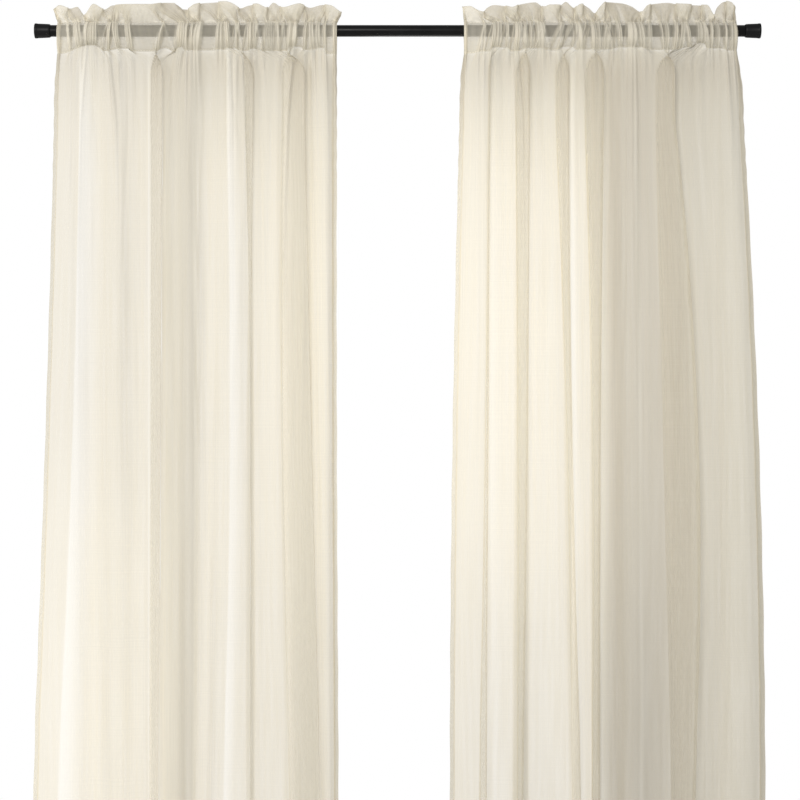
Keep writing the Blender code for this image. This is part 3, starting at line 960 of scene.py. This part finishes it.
def panel_rows(shape, scales, random):
    """The sheet's rows of points, each with its place along the cloth, and the shares across."""
    folds, pinches, bunches = shape.folds, shape.pinches, shape.bunches
    places, share = column_places(folds, COLUMNS + 1)
    left, right = (side * MM for side in shape.sides["pocket"])
    top_left, top_right = (side * MM for side in shape.sides["heading"])
    low_x = pocket_places(bunches, left, right, share, 0.0)
    up_x = pocket_places(bunches, left, right, share, 1.0)
    top_x = top_left + (top_right - top_left) * share
    top_lean, top_sway, _ = ruffle_at(pinches, top_x)
    top_z = smooth_run(shape.heading, top_x + top_sway)
    wrinkles = wrinkle_table(random, left, right)
    fan_shift = random.uniform(0.0, math.tau, len(pinches))
    shift = random.uniform(0.0, math.tau, 8)
    from_side = np.minimum(share, 1.0 - share)
    light_end = LIGHT_END * np.exp(-(share / LIGHT_END_REACH) ** 2)
    apart = LAYERS_APART + SIDE_APART * np.exp(-(from_side / SIDE_APART_REACH) ** 4)
    pucker = np.exp(-(from_side / PUCKER_REACH) ** 2)
    seam_drop = smooth_run(shape.seam, low_x) - LOWER_SEAM
    at_seam = scales["bunch"] * bunches_at(bunches, up_x, lambda bunch: bunch_centre(bunch, 1.0))
    deep, pitch = SEAM_GATHERS
    seam_gathers = deep * np.sin(math.tau * share / pitch + shift[2] + 3.0 * np.sin(90.0 * up_x))
    middle_x = spline_points(fold_controls(folds, TABLE_MID), places)[:, 0]
    hangs = np.interp(middle_x / MM, *np.array(shape.fullness).T)
    top_hangs = np.interp(low_x / MM, *np.array(shape.top_fullness).T)
    hang_shade = np.clip((hangs - SHADED_FROM) / SHADED_OVER, 0.0, 1.0)
    rows = []

    def add(x, y, z, along, opened=0.0, depth=0.0, folded=1.0, shaded=0.0):
        """Keeps a row, with how full, how shaded and how crowded the cloth is along it."""
        points = np.stack(np.broadcast_arrays(x, y, z), axis=1)
        step = np.linalg.norm(np.gradient(points, axis=0), axis=1)
        crowded = np.clip(CLOTH_WIDTH * np.gradient(share) / np.maximum(step, 1e-6), 1.0, MOST_CROWDED)
        near_top = math.exp(-depth / TOP_FADE)
        layers = layers_at(points[:, 0])
        thinned = thinned_at(shape.ridges, points[:, 0], LOWER_SEAM - depth)
        total = hangs + (top_hangs - hangs) * near_top
        hanging = total * thinned / layers * np.where(layers > 1, 1.0 - TIP_THIN * near_top, 1.0)
        hung = hang_shade + (1.0 - hang_shade) * TOP_SHADE * near_top - RIDGE_LIGHT * (1.0 - thinned)
        crowd = SINGLE_CROWD * np.clip((total - 1.0) / CROWD_OVER, 0.0, 1.0)
        hemmed = (from_side * CLOTH_WIDTH < SIDE_HEM) | (along < HEM_TOP + 0.001)
        crowd = np.where(hemmed | (layers > 1), 1.0, crowd)
        rows.append((points, along, {
            "fullness": folded * (crowded + (hanging - crowded) * opened),
            "shade": shaded + (hung - shaded) * opened,
            "crowd": POCKET_CROWD + (crowd - POCKET_CROWD) * opened,
        }))

    def body_row(height):
        """A row of the hanging cloth, which opens from its gathers into its folds."""
        depth = LOWER_SEAM - height
        reach = min(depth / (LOWER_SEAM - FOLDS_OPEN), 1.0)
        side_reach = min(depth / (LOWER_SEAM - SIDES_OPEN), 1.0)
        opened = 1.0 - (1.0 - reach) ** 2
        deepened = 1.0 - (1.0 - reach) ** 3
        inside = 1.0 - (1.0 - reach) ** 5
        at_side = 1.0 - (1.0 - side_reach) ** 2
        spread = at_side + (inside - at_side) * np.clip(from_side / SIDE_REACH, 0.0, 1.0)
        section = spline_points(fold_controls(folds, height), places)
        x = low_x + spread * (section[:, 0] - low_x)
        behind = FLAT_DEPTH * np.tanh(FLAT_GAIN * section[:, 1] / FLAT_DEPTH)

        down = min(depth / (LOWER_SEAM - TABLE_TOP), 3.0)
        moved = down ** 0.8 if down < 1 else 1 + 0.25 * (down - 1)
        gathers = scales["bunch"] * bunches_at(
            bunches,
            x,
            lambda bunch: bunch_centre(bunch, 0.0) + bunch.drift * MM * moved,
            1.0 + 0.5 * min(down, 1.0),
            lambda bunch: math.exp(-1.1 * depth / (bunch.run * MM)),
        )
        fine = scales["wrinkle"] * wrinkles_at(wrinkles, x, height) * min(depth / 0.02, 1.0)
        y = deepened * behind - gathers - apart * (1.0 - deepened) + fine
        out, across = (
            size * pucker * np.sin(math.tau * height / pitch + shift[number])
            for number, (size, pitch) in enumerate(PUCKERS.values())
        )
        x = x + across * min(depth / 0.05, 1.0)
        z = height + seam_drop * (1.0 - opened) ** 2
        add(x, y + out, z, height, opened ** 0.5, depth, shaded=crest_light(gathers, 0.5))

    def pocket_row(level, face, along):
        """A row of the pocket: its front layer where face is -1, its back layer where it is 1."""
        height, out, shared, puffed = level
        rise = min(max((height - LOWER_SEAM) / (UPPER_SEAM - LOWER_SEAM), 0.0), 1.0)
        x = low_x + rise * (up_x - low_x)
        wide = 1.0 + BUNCH_SWELL * math.sin(math.pi * rise)
        stands = scales["bunch"] * bunches_at(bunches, x, lambda bunch: bunch_centre(bunch, rise), wide)
        puff = stands * puffed * (1.0 if face < 0 else BACK_PUFF)
        y = face * (out + apart + puff) - stands * shared
        y = y + seam_gathers * math.exp(-((height - UPPER_SEAM) / SEAM_GATHERS_REACH) ** 2)
        turned_in = 1.7 if face > 0 and rise < 0.1 else 1.0
        shaded = crest_light(stands, 0.4 + 0.6 * min(rise / 0.5, 1.0)) - light_end
        add(x, y, height + (1.0 - rise) ** 3 * seam_drop, along, folded=turned_in, shaded=shaded)

    def heading_row(part, face, along):
        """A row of the ruffled heading, from the upper seam, at part 0, to the top, at 1."""
        x = up_x + part * (top_x - up_x)
        z = UPPER_SEAM + part * (top_z - UPPER_SEAM - LAYERS_APART)
        lean, sway, swell = ruffle_at(pinches, x)
        creases = fan_creases(pinches, x, z, fan_shift)
        x = x + sway * part ** 1.4
        crumple = sum(
            deep * np.sin(math.tau * (x / across + z / up) + shift[4 + number])
            for number, (deep, across, up) in enumerate(CRUMPLES)
        )
        bulge = math.sin(math.pi * min(part, 1.0))
        y = face * (apart + RUFFLE_BULGE * swell * bulge) - RUFFLE_SET * swell * bulge ** 0.7
        y = y + lean * part ** 1.2 - 0.9 * at_seam * (1.0 - part) ** 1.6
        y = y + creases * min(part / 0.1, 1.0) + seam_gathers * math.exp(-(part / 0.2) ** 2)
        y = y + crumple * bulge
        turns = np.clip(np.gradient(x) / np.gradient(share) / (top_right - top_left), 0.0, 1.0)
        edge = EDGE_LIGHT * min(3.0 * part, 1.0) * np.clip(1.0 - turns / 0.45, 0.0, 1.0)
        thin = (1.0 - 0.4 * light_end) / layers_at(x)
        ray = np.clip(creases / CREASE_LIT, -0.35, 1.0) - LEAN_SHADE * part * lean / 0.008
        add(x, y, z, along, folded=thin, shaded=HEADING_SHADE - edge - ray - light_end)

    def turn_row(angle, along):
        """A row where the heading's top turns over to the back."""
        y = top_lean + apart * math.sin(math.radians(angle))
        z = top_z - LAYERS_APART * (1.0 - math.cos(math.radians(angle)))
        add(top_x + top_sway, y, z, along, folded=1.0 / layers_at(top_x + top_sway))

    hem, body = body_heights()
    for height in hem + body:
        body_row(height)
    path = pocket_path()
    steps = [math.hypot(b[0] - a[0], b[1] - a[1]) for a, b in zip(path, path[1:])]
    front_marks = LOWER_SEAM + np.concatenate(([0.0], np.cumsum(steps)))
    for level, mark in zip(path, front_marks):
        pocket_row(level, -1.0, mark)
    tall = float(np.mean(top_z)) - UPPER_SEAM
    upper = front_marks[-1]
    parts = (np.arange(1, HEADING_STEPS + 1) / HEADING_STEPS) ** 1.15
    for part in parts:
        heading_row(part, -1.0, upper + part * tall)
    for angle in TURN_OVER:
        turn_row(angle, upper + tall + 0.001 + angle * 0.00001)
    over = upper + tall + 0.002
    for part in parts[::-1]:
        heading_row(part, 1.0, over + (1.0 - part) * tall)
    for level, mark in zip(path[::-1], front_marks[::-1]):
        pocket_row(level, 1.0, over + tall + (upper - mark))
    end = over + tall + upper - LOWER_SEAM
    seams = (HEM_TOP, LOWER_SEAM + SEAM_INSET, upper, over + tall, end - SEAM_INSET)
    return rows, share, len(hem), [float(seam) for seam in seams]


def sheet_grid(rows, share, hem_rows):
    """The whole sheet's points and cloth map, with its side and bottom hems turned back."""
    points = np.array([row[0] for row in rows])
    along = np.array([row[1] for row in rows])
    up = np.gradient(points, axis=0)
    right = np.gradient(points, axis=1)
    normal = np.cross(up, right)
    normal /= np.maximum(np.linalg.norm(normal, axis=2, keepdims=True), 1e-9)
    width = np.linalg.norm(np.diff(points[len(points) // 3], axis=0), axis=1)
    hem_left = int(np.searchsorted(np.cumsum(width), SIDE_HEM)) + 1
    hem_right = int(np.searchsorted(np.cumsum(width[::-1]), SIDE_HEM)) + 1
    last = points.shape[1] - 1
    columns = [*range(hem_left, -1, -1), *range(last + 1), *range(last, last - hem_right - 1, -1)]
    behind = [1] * (hem_left + 1) + [0] * (last + 1) + [1] * (hem_right + 1)
    lines = [*range(hem_rows - 1, -1, -1), *range(points.shape[0])]
    below = [1] * hem_rows + [0] * points.shape[0]
    pick = np.ix_(lines, columns)
    layers = np.array(below)[:, None] + np.array(behind)[None, :]
    grid = points[pick] - normal[pick] * (HEM_APART * layers)[:, :, None]
    across = share[columns] * CLOTH_WIDTH
    across[:hem_left + 1] = -across[:hem_left + 1]
    across[hem_left + last + 2:] = 2 * CLOTH_WIDTH - across[hem_left + last + 2:]
    place = along[lines].copy()
    place[:hem_rows] = 2 * HEM_BOTTOM - place[:hem_rows]
    cloth_map = np.stack(np.broadcast_arrays(across[None, :], place[:, None]), axis=2)
    values = {kind: np.array([row[2][kind] for row in rows])[pick] for kind in rows[0][2]}
    return grid, cloth_map, values


def make_sheet(name, grid, cloth_map, values, material):
    """One panel's mesh from its grid of points."""
    line_count, column_count = grid.shape[:2]
    bpy.ops.mesh.primitive_grid_add(
        x_subdivisions=column_count - 1, y_subdivisions=line_count - 1, size=2.0
    )
    panel = bpy.context.object
    panel.name = name
    mesh = panel.data
    mesh.name = name
    flat = np.empty(len(mesh.vertices) * 3)
    mesh.vertices.foreach_get("co", flat)
    flat = flat.reshape(-1, 3)
    across = np.rint((flat[:, 0] + 1.0) / 2.0 * (column_count - 1)).astype(int)
    up = np.rint((flat[:, 1] + 1.0) / 2.0 * (line_count - 1)).astype(int)
    mesh.vertices.foreach_set("co", grid[up, across].ravel())
    while mesh.uv_layers:
        mesh.uv_layers.remove(mesh.uv_layers[0])
    layer = mesh.uv_layers.new(name="cloth")
    corner = np.empty(len(mesh.loops), dtype=np.int32)
    mesh.loops.foreach_get("vertex_index", corner)
    layer.data.foreach_set("uv", cloth_map[up, across][corner].ravel())
    for kind, value in values.items():
        layer = mesh.attributes.new(kind, "FLOAT", "POINT")
        layer.data.foreach_set("value", value[up, across])
    mesh.shade_smooth()
    mesh.update()
    mesh.materials.append(material)
    return panel


Shape = namedtuple("Shape", "folds fullness top_fullness ridges heading sides pinches bunches seam seed")
PANELS = {
    "panel_left": Shape(
        LEFT_FOLDS, LEFT_FULLNESS, LEFT_TOP_FULLNESS, LEFT_RIDGES, LEFT_HEADING, LEFT_SIDES,
        LEFT_PINCHES, [Bunch(*row) for row in LEFT_BUNCHES], LEFT_SEAM, 11,
    ),
    "panel_right": Shape(
        RIGHT_FOLDS, RIGHT_FULLNESS, RIGHT_TOP_FULLNESS, RIGHT_RIDGES, RIGHT_HEADING, RIGHT_SIDES,
        RIGHT_PINCHES, [Bunch(*row) for row in RIGHT_BUNCHES], RIGHT_SEAM, 23,
    ),
}


class CURTAIN_OT_rod(bpy.types.Operator):
    """Makes the black rod that runs through both pockets"""

    bl_idname = "curtain.rod"
    bl_label = "Rod"

    def execute(self, context):
        settings = context.scene.curtain
        inside = ROD_RADIUS - ROD_WALL
        lip = 0.0002
        profile = [
            (ROD_RADIUS - lip, ROD_HALF),
            (ROD_RADIUS, ROD_HALF - lip),
            (ROD_RADIUS, -ROD_HALF + lip),
            (ROD_RADIUS - lip, -ROD_HALF),
            (inside, -ROD_HALF),
            (inside, ROD_HALF),
        ]
        finish = hard_finish("satin_enamel", settings.steel_colour, 0.34, 900.0, 0.00006)
        rod = turned_piece("satin_rod", profile, 1, finish)
        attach(rod, "root")
        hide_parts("rod")
        return {"FINISHED"}


class CURTAIN_OT_caps(bpy.types.Operator):
    """Makes the two flared end caps"""

    bl_idname = "curtain.caps"
    bl_label = "End caps"

    def execute(self, context):
        settings = context.scene.curtain
        finish = hard_finish("moulded_black", settings.cap_colour, 0.42, 1400.0, 0.00005)
        for node, side in (("end_cap_left", -1), ("end_cap_right", 1)):
            cap = turned_piece(node.replace("end_cap", "flared_cap"), cap_profile(), side, finish)
            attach(cap, "root")
            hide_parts(node)
        return {"FINISHED"}


class CURTAIN_OT_panels(bpy.types.Operator):
    """Makes the two voile panels, gathered on the rod"""

    bl_idname = "curtain.panels"
    bl_label = "Voile panels"

    def execute(self, context):
        settings = context.scene.curtain
        scales = {"bunch": settings.bunch_scale, "wrinkle": settings.wrinkle_scale}
        finish = None
        for node, shape in PANELS.items():
            random = np.random.default_rng(shape.seed)
            rows, share, hem_rows, seams = panel_rows(shape, scales, random)
            if finish is None:
                finish = voile_material(settings, seams)
            grid, cloth_map, values = sheet_grid(rows, share, hem_rows)
            panel = make_sheet(node.replace("panel", "voile"), grid, cloth_map, values, finish)
            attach(panel, "root")
            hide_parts(node)
        return {"FINISHED"}


def soft_light(name, place, aim, size, power, colour):
    """A large area light that the camera doesn't see."""
    data = bpy.data.lights.new(name, "AREA")
    data.shape = "RECTANGLE"
    data.size, data.size_y = size
    data.energy = power
    data.color = colour
    light = bpy.data.objects.new(name, data)
    bpy.context.scene.collection.objects.link(light)
    light.location = place
    towards = np.array(aim) - np.array(place)
    flat = math.hypot(towards[0], towards[1])
    light.rotation_euler = (
        math.atan2(flat, -towards[2]),
        0.0,
        math.atan2(-towards[0], towards[1]),
    )
    light.visible_camera = False
    return light


class CURTAIN_OT_stage(bpy.types.Operator):
    """Makes the floor, the lights, the pale surroundings and the camera"""

    bl_idname = "curtain.stage"
    bl_label = "Stage"

    def execute(self, context):
        settings = context.scene.curtain_stage
        scene = context.scene
        bpy.ops.mesh.primitive_plane_add(size=1.0, location=(0.0, -0.45, FLOOR_HEIGHT))
        floor = context.object
        floor.name = "stage_floor"
        floor.scale = (4.0, 4.1, 1.0)
        floor.data.materials.append(plain_finish("stage_paper", settings.floor_colour, 0.9))

        for name, place, aim, size, colour in LIGHTS:
            soft_light(name, place, aim, size, getattr(settings, name + "_power"), colour)

        world = Nodes(bpy.data.worlds.new("pale_room"), "ShaderNodeOutputWorld")
        lighting, seen = (
            world.made("ShaderNodeBackground", {"Color": (*colour, 1.0), "Strength": strength})
            for colour, strength in ((ROOM_COLOUR, settings.room_light), (WHITE, 1.0))
        )
        by_camera = world.made("ShaderNodeLightPath", output="Is Camera Ray")
        scene.world = world.finished(world.mix_shader(by_camera, lighting, seen))

        data = bpy.data.cameras.new("view")
        data.sensor_width = SENSOR
        data.lens = SENSOR * abs(CAMERA_PLACE[1]) / CAMERA_SEEN
        camera = bpy.data.objects.new("view", data)
        scene.collection.objects.link(camera)
        camera.location = CAMERA_PLACE
        camera.rotation_euler = (math.radians(90.0), 0.0, 0.0)
        scene.camera = camera
        scene.view_settings.view_transform = "Standard"
        scene.cycles.transparent_max_bounces = 48
        return {"FINISHED"}


class CURTAIN_PT_sidebar(bpy.types.Panel):
    """Lists the curtains' pieces and their settings"""

    bl_idname = "CURTAIN_PT_sidebar"
    bl_label = "Sheer Voile Curtains"
    bl_space_type = "VIEW_3D"
    bl_region_type = "UI"
    bl_category = "Curtains"

    def draw(self, context):
        for operator in OPERATORS:
            self.layout.operator(operator.bl_idname)
        for group in (context.scene.curtain, context.scene.curtain_stage):
            for name in group.__annotations__:
                self.layout.prop(group, name)


OPERATORS = (CURTAIN_OT_rod, CURTAIN_OT_caps, CURTAIN_OT_panels, CURTAIN_OT_stage)
CLASSES = (CurtainSettings, CurtainStageSettings, *OPERATORS, CURTAIN_PT_sidebar)


def register():
    for thing in CLASSES:
        bpy.utils.register_class(thing)
    bpy.types.Scene.curtain = bpy.props.PointerProperty(type=CurtainSettings)
    bpy.types.Scene.curtain_stage = bpy.props.PointerProperty(type=CurtainStageSettings)


def unregister():
    del bpy.types.Scene.curtain_stage
    del bpy.types.Scene.curtain
    for thing in reversed(CLASSES):
        bpy.utils.unregister_class(thing)


def main():
    """Makes every piece."""
    register()
    bpy.ops.curtain.rod()
    bpy.ops.curtain.caps()
    bpy.ops.curtain.panels()
    bpy.ops.curtain.stage()


if __name__ == "__main__":
    main()
